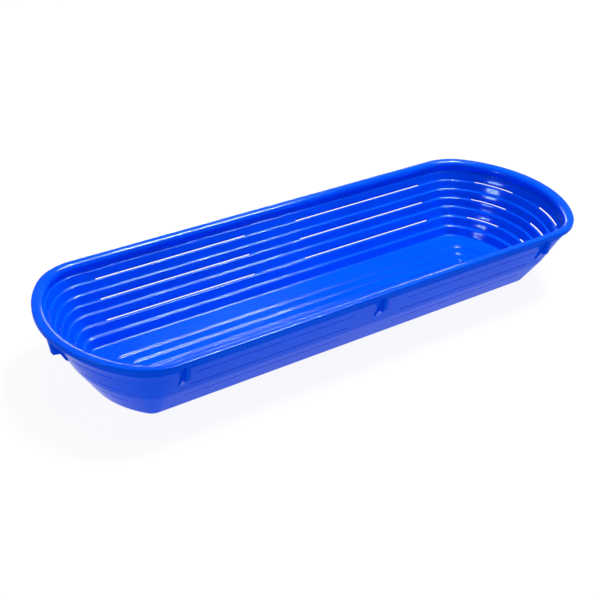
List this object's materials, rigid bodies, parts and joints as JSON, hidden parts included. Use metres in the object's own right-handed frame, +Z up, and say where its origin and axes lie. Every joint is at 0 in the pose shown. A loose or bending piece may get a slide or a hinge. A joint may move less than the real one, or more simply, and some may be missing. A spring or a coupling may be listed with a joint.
{
  "type": "dough proofing basket",
  "caption": "Long terraced proofing basket in blue plastic, with louvred air slots, a rolled rim, nesting ribs and a ridged floor.",
  "frame": {"origin": "centre of the bounding box in plan, on the underside the basket stands on", "axes": "+X along the basket's length, +Y across its width, +Z up out of its mouth"},
  "size_m": [0.382, 0.133, 0.0504],
  "materials": {
    "blue_polypropylene": "glossy injection-moulded"
  },
  "bodies": {
    "root": {"rim": "blue_polypropylene", "wall_ring_1": "blue_polypropylene", "wall_ring_2": "blue_polypropylene", "wall_ring_3": "blue_polypropylene", "wall_ring_4": "blue_polypropylene", "wall_ring_5": "blue_polypropylene", "wall_ring_6": "blue_polypropylene", "wall_ring_7": "blue_polypropylene", "wall_ring_8": "blue_polypropylene", "floor_panel": "blue_polypropylene", "floor_ridge_outer": "blue_polypropylene", "floor_ridge_middle": "blue_polypropylene", "floor_ridge_inner": "blue_polypropylene", "nesting_rib_front_left": "blue_polypropylene", "nesting_rib_front_centre": "blue_polypropylene", "nesting_rib_front_right": "blue_polypropylene", "nesting_rib_back_left": "blue_polypropylene", "nesting_rib_back_centre": "blue_polypropylene", "nesting_rib_back_right": "blue_polypropylene", "nesting_rib_end_left": "blue_polypropylene", "nesting_rib_end_right": "blue_polypropylene"}
  },
  "joints": []
}
